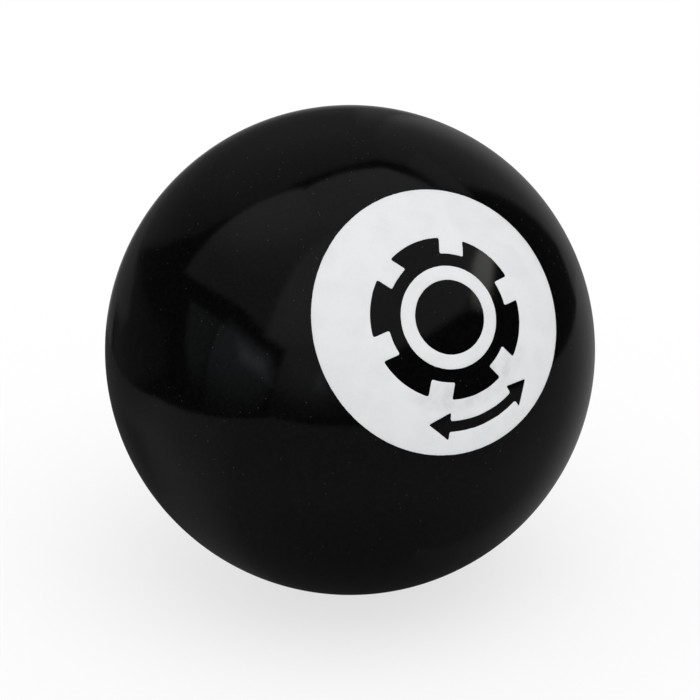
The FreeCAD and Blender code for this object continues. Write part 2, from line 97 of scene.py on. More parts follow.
INK_THICKNESS = 0.08 * MM
INK_SUNK = 0.012 * MM
INK_EDGE_SHARE = 0.45
INK_EDGE_RUN = 0.07 * MM
CORNER_SMOOTHING = 2
OUTLINE_STEP = 0.2 * MM
GRID_STEP = 0.55 * MM
TRIANGLE_TOLERANCE = 1e-5
RAGGED = 0.035 * MM

# --- the valve: radii from its axis, depths from the ball's surface ---

NECK_RADIUS = 4.2 * MM
RIM_ROUNDING = 0.35 * MM
SEAT_RECESS = 0.3 * MM
POCKET_RADIUS = 3.55 * MM
POCKET_DEPTH = 1.45 * MM
MOUTH_RADIUS = 2.9 * MM
THROAT_RADIUS = 2.4 * MM
FLANGE_RADIUS = 7.5 * MM
FLANGE_THICKNESS = 1.6 * MM
BOSS_RADIUS = 4.6 * MM
BOSS_DEPTH = 12 * MM
CORE_HEAD_RADIUS = 3.5 * MM
CORE_HEAD_EDGE = 0.4 * MM
CORE_RECESS = 0.12 * MM
CORE_CLEARANCE = 0.05 * MM
CORE_DEPTH = 12.4 * MM
FUNNEL_RADIUS = 1.7 * MM
FUNNEL_DEPTH = 0.9 * MM
NEEDLE_RADIUS = 1.0 * MM
NEEDLE_DEPTH = 8.0 * MM
VALVE_SEGMENTS = 128

# --- colours, linear ---

RUBBER_BLACK = (0.0006, 0.0006, 0.0006)
RUBBER_BLOOM = (0.0022, 0.0022, 0.0023)
DUST_GREY = (0.06, 0.06, 0.06)
INK_DULL = (0.80, 0.82, 0.835)
INK_BRIGHT = (0.86, 0.875, 0.885)
INK_THIN = (0.55, 0.56, 0.57)
VALVE_BLACK = (0.012, 0.012, 0.0125)
VALVE_TALC = (0.05, 0.05, 0.049)
RUBBER_IOR = 1.5
INK_IOR = 1.48


# --- small geometry helpers ---

SHARP_ANGLE = math.radians(38)
ON_AXIS = 1e-9


def polar(radius, degrees):
    return Vector((radius * math.cos(math.radians(degrees)), radius * math.sin(math.radians(degrees))))


def height_on(radius, across):
    """How far from the centre a sphere of that radius is, at a distance across from the axis."""
    return math.sqrt(radius**2 - across**2)


def smooth(low, high, value):
    """0 below low, 1 above high, eased in between."""
    share = min(1.0, max(0.0, (value - low) / (high - low)))
    return share * share * (3 - 2 * share)


def ripple(point):
    """The skin's slow unevenness, from 0 to 1, with a little of a finer one."""
    place = point / RIPPLE_LENGTH
    return 0.5 + 0.4 * noise.noise(place) + 0.1 * noise.noise(place * 2.7)


def on_skin(direction, height=0.0):
    """The point of the ball's skin in a direction from its centre, with that height above it."""
    point = direction * BALL_RADIUS
    point += direction * (height - RIPPLE_DEPTH * ripple(point))
    return stood(point + BALL_CENTRE)


def stood(point):
    """A point with nothing below the bench: the soft ball flattens where it rests."""
    low = point.copy()
    low.z = (point.z + math.sqrt(point.z**2 + REST_SOFTNESS**2)) / 2
    return low


def rounded(corners, steps=4):
    """A polyline from (point, rounding) pairs, with an arc of that radius in place of each corner."""
    line = []
    for index, (corner, radius) in enumerate(corners):
        if radius == 0:
            line.append(Vector(corner))
            continue
        corner = Vector(corner)
        back = (Vector(corners[index - 1][0]) - corner).normalized()
        on = (Vector(corners[(index + 1) % len(corners)][0]) - corner).normalized()
        half = back.angle(on) / 2
        centre = corner + (back + on).normalized() * radius / math.sin(half)
        first = (corner + back * radius / math.tan(half) - centre).normalized()
        last = (corner + on * radius / math.tan(half) - centre).normalized()
        for step in range(steps + 1):
            line.append(centre + first.slerp(last, step / steps) * radius)
    return line


def arc_on(radius, from_across, to_across, count):
    """Points of a sphere's section between two distances from the axis, on the valve's side."""
    start, end = math.asin(from_across / radius), math.asin(to_across / radius)
    turns = [start + (end - start) * i / count for i in range(count + 1)]
    return [Vector((radius * math.sin(t), -radius * math.cos(t))) for t in turns]


def new_piece(name, verts, faces, material):
    """A smooth-shaded object from vertices and faces, its normals outwards."""
    mesh = bpy.data.meshes.new(name)
    mesh.from_pydata([tuple(v) for v in verts], [], faces)
    work = bmesh.new()
    work.from_mesh(mesh)
    bmesh.ops.recalc_face_normals(work, faces=work.faces)
    work.to_mesh(mesh)
    work.free()
    mesh.shade_smooth()
    mesh.set_sharp_from_angle(angle=SHARP_ANGLE)
    mesh.materials.append(material)
    piece = bpy.data.objects.new(name, mesh)
    bpy.context.scene.collection.objects.link(piece)
    return piece


def turn(name, section, segments, material, closed=False, shape=None):
    """A section of (distance from the axis, distance towards the print) turned round the ball's axis.

    A closed section makes a ring, and an open one starts and ends on the axis. shape moves each point.
    """
    verts, rows, faces = [], [], []
    for across, along in section:
        if across < ON_AXIS:
            ring = [PRINT_AXIS * along]
        else:
            turns = [2 * math.pi * i / segments for i in range(segments)]
            ring = [
                PRINT_AXIS * along + (ARTWORK_X * math.cos(t) + ARTWORK_Y * math.sin(t)) * across
                for t in turns
            ]
        rows.append(range(len(verts), len(verts) + len(ring)))
        verts += [shape(p) if shape else p + BALL_CENTRE for p in ring]
    following = rows[1:] + rows[:1] if closed else rows[1:]
    for row, other in zip(rows, following):
        for i in range(segments):
            j = (i + 1) % segments
            if len(row) == 1:
                faces.append((row[0], other[i], other[j]))
            elif len(other) == 1:
                faces.append((row[i], other[0], row[j]))
            else:
                faces.append((row[i], other[i], other[j], row[j]))
    return new_piece(name, verts, faces, material)


# --- shader helpers ---


def new_material(name):
    material = bpy.data.materials.new(name)
    material.use_nodes = True
    return material, material.node_tree, material.node_tree.nodes["Principled BSDF"]


def put(tree, kind, values=None, **settings):
    """A shader node. values sets inputs by name or number: a socket is linked, and a constant is set."""
    made = tree.nodes.new(kind)
    for name, value in settings.items():
        setattr(made, name, value)
    for name, value in (values or {}).items():
        if isinstance(value, bpy.types.NodeSocket):
            tree.links.new(value, made.inputs[name])
        else:
            made.inputs[name].default_value = value
    return made


def calculate(tree, operation, first, second=0.0):
    return put(tree, "ShaderNodeMath", {0: first, 1: second}, operation=operation).outputs[0]


def dot(tree, vector, constant):
    values = {0: vector, 1: tuple(constant)}
    return put(tree, "ShaderNodeVectorMath", values, operation="DOT_PRODUCT").outputs["Value"]


def ease(tree, value, low, high, to_low=0.0, to_high=1.0):
    """value eased from to_low at low to to_high at high."""
    values = {"Value": value, "From Min": low, "From Max": high, "To Min": to_low, "To Max": to_high}
    return put(tree, "ShaderNodeMapRange", values, interpolation_type="SMOOTHSTEP").outputs["Result"]


def object_place(tree):
    return put(tree, "ShaderNodeTexCoord").outputs["Object"]


def grain(tree, place, length, detail=2.0, roughness=0.5):
    """Noise with features of about that length in metres."""
    values = {"Vector": place, "Scale": 1 / length, "Detail": detail, "Roughness": roughness}
    return put(tree, "ShaderNodeTexNoise", values).outputs["Fac"]


def blend_colour(tree, share, first, second):
    """first where share is 0, second where it is 1."""
    made = put(tree, "ShaderNodeMix", {"Factor": share}, data_type="RGBA")
    # The mix node's colour inputs are numbers 6 and 7, and its colour output is number 2.
    for number, colour in ((6, first), (7, second)):
        if isinstance(colour, bpy.types.NodeSocket):
            tree.links.new(colour, made.inputs[number])
        else:
            made.inputs[number].default_value = (*colour, 1)
    return made.outputs[2]


def bump(tree, shader, height, distance, strength=1.0):
    values = {"Height": height, "Distance": distance, "Strength": strength}
    made = put(tree, "ShaderNodeBump", values)
    tree.links.new(made.outputs["Normal"], shader.inputs["Normal"])


def specks(tree, place, spacing, radius, chosen):
    """1 in small round spots. chosen is the share of the cells of that spacing that have one."""
    cells = put(tree, "ShaderNodeTexVoronoi", {"Vector": place, "Scale": 1 / spacing})
    speck = ease(tree, cells.outputs["Distance"], radius / spacing, 0.5 * radius / spacing)
    pick = put(tree, "ShaderNodeSeparateColor", {"Color": cells.outputs["Color"]}).outputs["Red"]
    return calculate(tree, "MULTIPLY", speck, calculate(tree, "GREATER_THAN", pick, 1 - chosen))


# --- materials ---


def make_ball_rubber():
    """Glossy black rubber, barely uneven, with a faint bloom, a little dust and a few pinholes."""
    material, tree, shader = new_material("glossy_black_rubber")
    place = object_place(tree)
    shader.inputs["IOR"].default_value = RUBBER_IOR
    bloom = ease(tree, grain(tree, place, 0.5 * MM, detail=4, roughness=0.65), 0.35, 0.7)
    plain = blend_colour(tree, bloom, RUBBER_BLACK, RUBBER_BLOOM)
    dust = specks(tree, place, spacing=0.8 * MM, radius=0.075 * MM, chosen=0.45)
    colour = blend_colour(tree, dust, plain, DUST_GREY)
    tree.links.new(colour, shader.inputs["Base Color"])
    handled = ease(tree, grain(tree, place, 9 * MM, detail=4), 0.35, 0.75, 0.085, 0.125)
    worn = calculate(tree, "ADD", handled, calculate(tree, "MULTIPLY", dust, 0.3))
    tree.links.new(worn, shader.inputs["Roughness"])
    peel = grain(tree, place, 0.9 * MM, detail=3)
    pinholes = specks(tree, place, spacing=2.6 * MM, radius=0.16 * MM, chosen=0.08)
    pits = calculate(tree, "MULTIPLY", pinholes, 8)
    bump(tree, shader, calculate(tree, "SUBTRACT", peel, pits), 0.0022 * MM)
    return material


def make_white_ink():
    """Satin white ink: fine grain, slow mottling and a faint smear under the emblem."""
    material, tree, shader = new_material("printed_white_ink")
    place = object_place(tree)
    fine = grain(tree, place, 0.28 * MM, detail=3, roughness=0.7)
    slow = grain(tree, place, 3.2 * MM, detail=3)
    shade = calculate(tree, "ADD", ease(tree, fine, 0.3, 0.7, 0, 0.35), ease(tree, slow, 0.3, 0.7, 0, 0.65))
    plain = blend_colour(tree, shade, INK_DULL, INK_BRIGHT)
    colour = blend_colour(tree, emblem_smear(tree, place), plain, INK_THIN)
    tree.links.new(colour, shader.inputs["Base Color"])
    tree.links.new(ease(tree, slow, 0.3, 0.7, 0.30, 0.42), shader.inputs["Roughness"])
    shader.inputs["IOR"].default_value = INK_IOR
    bump(tree, shader, fine, 0.004 * MM)
    return material


def emblem_smear(tree, place):
    """A ghost of thin ink along the emblem's lower edge, where the screen lifted."""
    centre = put(
        tree, "ShaderNodeVectorMath", {0: place, 1: tuple(BALL_CENTRE)}, operation="SUBTRACT"
    ).outputs["Vector"]
    x, y = dot(tree, centre, ARTWORK_X), dot(tree, centre, ARTWORK_Y)
    squares = calculate(tree, "ADD", calculate(tree, "MULTIPLY", x, x), calculate(tree, "MULTIPLY", y, y))
    radius = calculate(tree, "SQRT", squares)
    near = ease(tree, radius, EMBLEM_RADIUS + 2 * MM, EMBLEM_RADIUS + 0.4 * MM)
    below = ease(tree, y, -5.5 * MM, -9 * MM)
    patchy = ease(tree, grain(tree, place, 1.6 * MM, detail=4), 0.42, 0.62, 0.1, 0.42)
    return calculate(tree, "MULTIPLY", calculate(tree, "MULTIPLY", near, below), patchy)


def make_valve_rubber():
    """Satin rubber with a moulded grain and traces of talc."""
    material, tree, shader = new_material("satin_valve_rubber")
    place = object_place(tree)
    talc = ease(tree, grain(tree, place, 1.4 * MM, detail=5, roughness=0.65), 0.55, 0.8, 0, 0.5)
    colour = blend_colour(tree, talc, VALVE_BLACK, VALVE_TALC)
    tree.links.new(colour, shader.inputs["Base Color"])
    tree.links.new(ease(tree, talc, 0, 0.5, 0.42, 0.62), shader.inputs["Roughness"])
    shader.inputs["IOR"].default_value = RUBBER_IOR
    bump(tree, shader, grain(tree, place, 0.22 * MM, detail=2), 0.006 * MM)
    return material


# --- the ball ---


def ball_section():
    """Outer skin from the print's middle to the valve, the hole's rounded rim, and back round the inside."""
    rim = NECK_RADIUS + RIM_ROUNDING
    widest = math.pi - math.asin(rim / BALL_RADIUS)
    outer_rows, rim_rows, inner_rows = 156, 6, 30
    section = []
    for row in range(outer_rows + 1):
        angle = widest * row / outer_rows
        section.append((BALL_RADIUS * math.sin(angle), BALL_RADIUS * math.cos(angle)))
    rim_height = -height_on(BALL_RADIUS, rim) + RIM_ROUNDING
    for row in range(1, rim_rows + 1):
        angle = math.pi / 2 * row / rim_rows
        across = rim - RIM_ROUNDING * math.sin(angle)
        section.append((across, rim_height - RIM_ROUNDING * math.cos(angle)))
    inner_hole = math.pi - math.asin(NECK_RADIUS / INNER_RADIUS)
    for row in range(inner_rows + 1):
        angle = inner_hole * (1 - row / inner_rows)
        section.append((INNER_RADIUS * math.sin(angle), INNER_RADIUS * math.cos(angle)))
    return section


def shape_wall(point):
    """Moves a point of the plain wall to where it is: the outer skin ripples, and the ball stands flat."""
    share = smooth(BALL_RADIUS - 1 * MM, BALL_RADIUS - 0.3 * MM, point.length)
    moved = point - point.normalized() * RIPPLE_DEPTH * ripple(point) * share
    return stood(moved + BALL_CENTRE)


def make_ball(material):
    ball = turn("rubber_ball", ball_section(), BALL_SEGMENTS, material, shape=shape_wall)
    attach(ball, "ball")
    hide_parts("ball_shell")


# --- the print ---


def along_line(start, end):
    """Points from start up to end, without end."""
    count = max(1, round((end - start).length / OUTLINE_STEP))
    return [start.lerp(end, i / count) for i in range(count)]


def along_arc(radius, start, end):
    """Points of an arc about the emblem's centre, in degrees, without its end."""
    count = max(2, round(math.radians(abs(end - start)) * radius / OUTLINE_STEP))
    return [polar(radius, start + (end - start) * i / count) for i in range(count)]


def emblem_outline():
    """A case back seen from above: a disc with wrench notches round its rim."""
    root = EMBLEM_RADIUS - NOTCH_DEPTH
    outer_start = math.degrees(math.asin(NOTCH_WIDTH / 2 / EMBLEM_RADIUS))
    inner_start = math.degrees(math.asin(NOTCH_WIDTH / 2 / root))
    pitch = 360 / NOTCH_COUNT
    outline = []
    for notch in range(NOTCH_COUNT):
        middle = notch * pitch
        outline += along_arc(root, middle - inner_start, middle + inner_start)
        outline += along_line(polar(root, middle + inner_start), polar(EMBLEM_RADIUS, middle + outer_start))
        land_end = middle + pitch - outer_start
        outline += along_arc(EMBLEM_RADIUS, middle + outer_start, land_end)
        outline += along_line(polar(EMBLEM_RADIUS, land_end), polar(root, middle + pitch - inner_start))
    return outline


def arrow_outline():
    """A curved arrow with two heads, under the emblem."""
    inner, outer = ARROW_RADIUS - ARROW_WIDTH / 2, ARROW_RADIUS + ARROW_WIDTH / 2
    left, right = -90 - ARROW_HALF_SWEEP, -90 + ARROW_HALF_SWEEP
    head = math.degrees(math.asin(ARROW_HEAD_LENGTH / ARROW_RADIUS))
    near, far = ARROW_RADIUS - ARROW_HEAD_WIDTH / 2, ARROW_RADIUS + ARROW_HEAD_WIDTH / 2
    outline = along_arc(outer, left, right)
    corners = [
        polar(outer, right),
        polar(far, right),
        polar(ARROW_RADIUS, right + head),
        polar(near, right),
        polar(inner, right),
    ]
    for start, end in zip(corners, corners[1:]):
        outline += along_line(start, end)
    outline += along_arc(inner, right, left)
    corners = [
        polar(inner, left),
        polar(near, left),
        polar(ARROW_RADIUS, left - head),
        polar(far, left),
        polar(outer, left),
    ]
    for start, end in zip(corners, corners[1:]):
        outline += along_line(start, end)
    return outline


def outline_normals(outline):
    """Each point's unit normal, to the right of the way that the outline runs."""
    normals = []
    for index, point in enumerate(outline):
        run = (outline[(index + 1) % len(outline)] - outline[index - 1]).normalized()
        normals.append(Vector((run.y, -run.x)))
    return normals


def printed(outline):
    """An outline as ink leaves it: corners a little round and the edge a little ragged."""
    for _ in range(CORNER_SMOOTHING):
        outline = [
            (outline[i - 1] + 2 * outline[i] + outline[(i + 1) % len(outline)]) / 4
            for i in range(len(outline))
        ]
    ragged = []
    for point, normal in zip(outline, outline_normals(outline)):
        place = Vector((point.x, point.y, 0)) / MM
        drift = 0.6 * noise.noise(place * 0.9) + 0.4 * noise.noise(place * 2.6 + Vector((0, 0, 7)))
        ragged.append(point + normal * RAGGED * drift)
    return ragged


def inside(points, outlines):
    """True for each point that an odd number of outlines go round."""
    found = np.zeros(len(points), bool)
    x, y = points[:, 0, None], points[:, 1, None]
    for outline in outlines:
        a = np.array([tuple(p) for p in outline])
        b = np.roll(a, -1, axis=0)
        spans = (a[:, 1] > y) != (b[:, 1] > y)
        rise = b[:, 1] - a[:, 1]
        reach = a[:, 0] + (y - a[:, 1]) * (b[:, 0] - a[:, 0]) / np.where(rise == 0, 1, rise)
        found ^= (np.sum(spans & (x < reach), axis=1) % 2).astype(bool)
    return found


def grid_points(reach, outlines):
    """A triangular grid inside the ink, clear of its edges."""
    rows = int(reach / GRID_STEP / math.sin(math.radians(60))) + 1
    columns = int(reach / GRID_STEP) + 1
    points = np.array(
        [
            ((i + 0.5 * (j % 2)) * GRID_STEP, j * GRID_STEP * math.sin(math.radians(60)))
            for j in range(-rows, rows + 1)
            for i in range(-columns, columns + 1)
        ]
    )
    edge = np.array([tuple(p) for outline in outlines for p in outline])
    gaps = np.sqrt(((points[:, None] - edge[None]) ** 2).sum(axis=2)).min(axis=1)
    kept = inside(points, outlines) & (gaps > 0.6 * GRID_STEP)
    return [Vector(p) for p in points[kept]]


def on_print(place, height):
    """A point of the artwork's plane, laid on the ball's skin with that height above it."""
    along = height_on(BALL_RADIUS, place.length)
    direction = (ARTWORK_X * place.x + ARTWORK_Y * place.y + PRINT_AXIS * along).normalized()
    return on_skin(direction, height)


def ink_plan(outlines):
    """The points of an ink area, the edges between them, and which points are on its outlines.

    Each outline is followed by the same line a little way in, where the ink reaches its full height.
    """
    points, edges, rim = [], [], set()
    for outline in outlines:
        inset = [p - n * INK_EDGE_RUN for p, n in zip(outline, outline_normals(outline))]
        rim |= set(range(len(points), len(points) + len(outline)))
        for loop in (outline, inset):
            first = len(points)
            points += loop
            edges += [(first + i, first + (i + 1) % len(loop)) for i in range(len(loop))]
    points += grid_points(max(p.length for p in outlines[0]), outlines)
    return points, edges, rim


def lay_ink(name, outlines, node, material):
    """One printed area: its top with a sloping edge, its foot on the rubber, and the sides between.

    The first outline runs anticlockwise round the ink, and the others run clockwise round its openings.
    """
    outlines = [printed(outline) for outline in outlines]
    points, edges, rim = ink_plan(outlines)
    # Triangulated in millimetres, because the triangulation's tolerance is absolute.
    made = delaunay_2d_cdt([p / MM for p in points], edges, [], 0, TRIANGLE_TOLERANCE)
    places = [p * MM for p in made[0]]
    centres = np.array([tuple(sum((places[i] for i in face), Vector((0, 0))) / 3) for face in made[2]])
    tops = [tuple(face) for face, kept in zip(made[2], inside(centres, outlines)) if kept]
    heights = [
        INK_THICKNESS * (INK_EDGE_SHARE if rim & set(origins) else 1) for origins in made[3]
    ]
    count = len(places)
    verts = [on_print(p, h) for p, h in zip(places, heights)]
    verts += [on_print(p, -INK_SUNK) for p in places]
    feet = [tuple(i + count for i in reversed(face)) for face in tops]
    runs = {(face[i], face[(i + 1) % 3]) for face in tops for i in range(3)}
    sides = [(b, a, a + count, b + count) for a, b in runs if (b, a) not in runs]
    used = sorted({i for face in tops + feet for i in face})
    order = {old: new for new, old in enumerate(used)}
    faces = [tuple(order[i] for i in face) for face in tops + feet + sorted(sides)]
    piece = new_piece(name, [verts[i] for i in used], faces, material)
    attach(piece, "ball")
    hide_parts(node)


def make_print(material):
    disc = along_arc(PRINT_RADIUS, 0, 360)
    openings = [list(reversed(emblem_outline())), list(reversed(arrow_outline()))]
    lay_ink("ink_field", [disc, *openings], "print_field", material)
    island = along_arc(RING_RADIUS, 0, 360)
    middle = list(reversed(along_arc(RING_RADIUS - RING_WIDTH, 0, 360)))
    lay_ink("ink_ring", [island, middle], "print_ring", material)


# --- the valve ---


def depth(value):
    """A depth below the ball's surface, as a distance towards the print."""
    return value - BALL_RADIUS


def taper(value):
    """The radius of the seat's tapered hole at a depth."""
    share = (value - POCKET_DEPTH) / (BOSS_DEPTH - POCKET_DEPTH)
    return MOUTH_RADIUS + (THROAT_RADIUS - MOUTH_RADIUS) * share


def make_valve_insert(material):
    """The flanged seat, from its outer face down the hole for the core and back round the outside."""
    face = BALL_RADIUS - SEAT_RECESS
    back = INNER_RADIUS - FLANGE_THICKNESS
    section = rounded(
        [
            ((POCKET_RADIUS, -height_on(face, POCKET_RADIUS)), 0.12 * MM),
            ((POCKET_RADIUS, depth(POCKET_DEPTH)), 0.15 * MM),
            ((MOUTH_RADIUS, depth(POCKET_DEPTH)), 0.15 * MM),
            ((THROAT_RADIUS, depth(BOSS_DEPTH)), 0.2 * MM),
            ((BOSS_RADIUS, depth(BOSS_DEPTH)), 0.6 * MM),
            ((BOSS_RADIUS, -height_on(back, BOSS_RADIUS)), 0.4 * MM),
            ((FLANGE_RADIUS, -height_on(back, FLANGE_RADIUS)), 0.3 * MM),
            ((FLANGE_RADIUS, -height_on(INNER_RADIUS, FLANGE_RADIUS)), 0.2 * MM),
            ((NECK_RADIUS, -height_on(INNER_RADIUS, NECK_RADIUS)), 0),
            ((NECK_RADIUS, -height_on(face, NECK_RADIUS)), 0.12 * MM),
        ]
    )
    insert = turn("valve_insert", section, VALVE_SEGMENTS, material, closed=True)
    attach(insert, "ball")
    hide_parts("valve_seat")


def make_valve_plug(material):
    """The core: the needle hole and its lead-in, the head, and the tapered stem."""
    face = BALL_RADIUS - CORE_RECESS
    ledge = POCKET_DEPTH - CORE_CLEARANCE
    hole = rounded(
        [
            ((0, depth(NEEDLE_DEPTH)), 0),
            ((NEEDLE_RADIUS, depth(NEEDLE_DEPTH)), 0.2 * MM),
            ((NEEDLE_RADIUS, depth(FUNNEL_DEPTH)), 0.3 * MM),
            ((FUNNEL_RADIUS, -height_on(face, FUNNEL_RADIUS)), 0.25 * MM),
        ]
    )
    face_end = CORE_HEAD_RADIUS - CORE_HEAD_EDGE
    face_arc = arc_on(face, FUNNEL_RADIUS + CORE_HEAD_EDGE, face_end, 5)
    outside = rounded(
        [
            ((face_end, -height_on(face, face_end)), 0),
            ((CORE_HEAD_RADIUS, -height_on(face, CORE_HEAD_RADIUS)), 0.2 * MM),
            ((CORE_HEAD_RADIUS, depth(ledge)), 0.1 * MM),
            ((taper(ledge) - CORE_CLEARANCE, depth(ledge)), 0.15 * MM),
            ((taper(CORE_DEPTH) - CORE_CLEARANCE, depth(CORE_DEPTH)), 0.5 * MM),
            ((0, depth(CORE_DEPTH)), 0),
        ]
    )[1:]
    plug = turn("valve_plug", hole + face_arc + outside, VALVE_SEGMENTS, material)
    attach(plug, "valve_core")
    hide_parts("valve_core")


# --- the studio ---

CAMERA_AZIMUTH = -26.4
CAMERA_ELEVATION = 24.9
CAMERA_DISTANCE = 14 * BALL_RADIUS
CAMERA_LENS = 176.1
SENSOR_WIDTH = 36
FLOOR_HALF_SIZE = 3.0
SUN_FROM = (0, 72)
SUN_STRENGTH = 0.75
SUN_WIDTH = math.radians(50)
ROOM_GREY = (0.74, 0.74, 0.74, 1)
BACKGROUND = (0.975, 0.975, 0.975, 1)


def towards(azimuth, elevation):
    """The direction at those degrees: azimuth 0 is -Y and 90 is +X, and elevation is above the horizon."""
    turned, raised = math.radians(azimuth), math.radians(elevation)
    flat = math.cos(raised)
    return Vector((math.sin(turned) * flat, -math.cos(turned) * flat, math.sin(raised)))


def make_camera():
    data = bpy.data.cameras.new("camera")
    data.sensor_width = SENSOR_WIDTH
    data.lens = CAMERA_LENS
    data.clip_start = 10 * MM
    camera = bpy.data.objects.new("camera", data)
    back = towards(CAMERA_AZIMUTH, CAMERA_ELEVATION)
    camera.location = BALL_CENTRE + back * CAMERA_DISTANCE
    camera.rotation_euler = (-back).to_track_quat("-Z", "Y").to_euler()
    bpy.context.scene.collection.objects.link(camera)
    bpy.context.scene.camera = camera


class Card(NamedTuple):
    """A bright surface of the studio, as the ball's gloss sees it. Where cards overlap, the brighter shows.

    Its corners are directions from the ball in degrees, (azimuth, elevation), and go round a convex shape.
    soft is the blur of its edges, in degrees. Where it isn't even, it is brightest towards one direction
    and falls to far_light at reach degrees from that.
    """

    corners: tuple
    light: float
    soft: float = 2.0
    colour: tuple = (1, 1, 1)
    brightest: tuple = None
    far_light: float = 0.0
    reach: float = 60.0


DAYLIGHT = (0.88, 0.95, 1)
ROOM_LIGHT = (0.99, 1, 1)
DARK_ROOM = 0.018
CARDS = (
    # the backdrop behind the ball, which lights its outline: dim low down and brighter high up
    Card(
        ((-153.5, 12), (-142.5, 28), (-141, 44), (-158, 60), (160, 62), (112, 25), (121, -25), (165, -27)),
        0.118,
        3,
        brightest=(170, 55),
        far_light=0.065,
        reach=45,
    ),
    # its brighter right side, that side's soft end and its foot, and the part above the dark corner
    Card(
        ((149, -25), (149, 40), (138, 54), (116, 46), (109.5, 36), (121, -25)),
        0.2,
        3,
        brightest=(143, -8),
        far_light=0.125,
        reach=30,
    ),
    Card(((154, -25), (154, 35), (140, 40), (130, -25)), 0.1, 3),
    Card(((125, -3), (116, -3), (111.5, -9), (115, -25), (125, -25)), 0.14, 2.5),
    Card(
        ((128, 51), (105, 48.5), (103, 36.5), (135, 36)),
        0.16,
        2,
        brightest=(108, 42),
        far_light=0.12,
        reach=28,
    ),
    # its foot behind the ball, the low streak where that ends, the dim ground between there and the window,
    # and the line where the ground meets the backdrop
    Card(
        ((-172, -3), (150, -2), (118, -20), (120, -36), (-175, -30)),
        0.24,
        3,
        brightest=(152, -24),
        far_light=0.085,
        reach=22,
    ),
    Card(((178, -4), (-161, -3), (-153, -9), (-160, -14), (-178, -16)), 0.085, 3),
    Card(((-172, -22), (-166, 0), (-122, 5), (-115, -8), (-150, -25)), 0.04, 5),
    Card(((167, -9), (167, -1), (148, -1), (148, -9)), 0.11, 3),
    # the ceiling: the part in front of its straight rear edge, and the part on the left
    Card(
        ((-105, 32.5), (134, 58.5), (82, 34), (40, 28.5), (12, 26), (-4, 23), (-58, 21.5)),
        0.28,
        1.2,
        ROOM_LIGHT,
        brightest=(150, 62),
        far_light=0.13,
        reach=70,
    ),
    Card(
        ((-165, 65), (-131, 21), (-90, 30.8), (-58, 30), (-30, 60)),
        0.3,
        1.2,
        ROOM_LIGHT,
        brightest=(-155, 64),
        far_light=0.13,
        reach=38,
    ),
    # the ceiling is brighter over the camera
    Card(
        ((-71, 25), (-76, 62), (100, 75), (72, 40), (40, 28.5), (12, 26), (-4, 23), (-58, 21.5)),
        0.29,
        2.5,
        ROOM_LIGHT,
        brightest=(-60, 56),
        far_light=0.21,
        reach=40,
    ),
    # the wall in front, beside the window
    Card(
        ((-57, 26), (-22, 32), (-22, -5), (-63.5, -9)),
        0.2,
        1,
        ROOM_LIGHT,
        brightest=(-45, 24),
        far_light=0.045,
        reach=30,
    ),
    # the window's narrow left pane and its wide right pane, both darker low down
    Card(
        ((-117.5, 19), (-99, 21.5), (-96, 21.5), (-96, -13), (-99, -14)),
        0.11,
        1.5,
        DAYLIGHT,
        brightest=(-106, 22),
        far_light=0.025,
        reach=34,
    ),
    Card(
        ((-95.5, 21.5), (-82, 20.5), (-60, 12.5), (-67, -9), (-85, -14), (-95.5, -13)),
        0.19,
        1,
        DAYLIGHT,
        brightest=(-82, 30),
        far_light=0.045,
        reach=42,
    ),
    # daylight in the window's upper right corner, and a gleam on the wall
    Card(((-84, 19), (-67, 15), (-65, 8), (-79, 11)), 0.55, 7, DAYLIGHT),
    Card(((-44, 15), (-37, 16), (-37, 5), (-43, 5)), 0.34, 4, DAYLIGHT),
    # the lamp, which fades towards its lower end
    Card(
        ((48, 23), (79, 32.5), (77.5, 38), (62, 38.5), (53, 36), (41, 27.5)),
        1.25,
        1.8,
        (1, 1, 0.93),
        brightest=(68, 34),
        far_light=0.15,
        reach=25,
    ),
)


def card_light(tree, ray, card):
    """The light of one card: the ray has to be inside each side, a plane through the ball's centre."""
    points = [towards(*corner) for corner in card.corners]
    middle = sum(points, Vector()).normalized()
    least = None
    for start, end in zip(points, points[1:] + points[:1]):
        normal = start.cross(end).normalized()
        if normal.dot(middle) < 0:
            normal.negate()
        depth_in = dot(tree, ray, normal)
        least = depth_in if least is None else calculate(tree, "MINIMUM", least, depth_in)
    blur = math.sin(math.radians(card.soft))
    level = ease(tree, least, -blur, blur, 0, card.light)
    if card.brightest:
        near = dot(tree, ray, towards(*card.brightest))
        fall = ease(tree, near, math.cos(math.radians(card.reach)), 1, card.far_light / card.light)
        level = calculate(tree, "MULTIPLY", level, fall)
    values = {0: card.colour, "Scale": level}
    return put(tree, "ShaderNodeVectorMath", values, operation="SCALE").outputs["Vector"]


def make_world():
    """White to the eye, even grey as soft light, and the cards in the gloss."""
    world = bpy.data.worlds.new("studio")
    bpy.context.scene.world = world
    world.use_nodes = True
    world.cycles.sampling_method = "NONE"
    tree = world.node_tree
    tree.nodes.clear()
    ray = put(tree, "ShaderNodeTexCoord").outputs["Generated"]
    light = (DARK_ROOM, DARK_ROOM, DARK_ROOM)
    for card in CARDS:
        values = {0: light, 1: card_light(tree, ray, card)}
        light = put(tree, "ShaderNodeVectorMath", values, operation="MAXIMUM").outputs["Vector"]
    path = put(tree, "ShaderNodeLightPath")
    soft = put(tree, "ShaderNodeBackground", {"Color": ROOM_GREY}).outputs[0]
    gloss = put(tree, "ShaderNodeBackground", {"Color": light}).outputs[0]
    seen = put(tree, "ShaderNodeBackground", {"Color": BACKGROUND}).outputs[0]
    lit = put(tree, "ShaderNodeMixShader", {0: path.outputs["Is Glossy Ray"], 1: soft, 2: gloss})
    whole = put(tree, "ShaderNodeMixShader", {0: path.outputs["Is Camera Ray"], 1: lit.outputs[0], 2: seen})
    put(tree, "ShaderNodeOutputWorld", {"Surface": whole.outputs[0]})


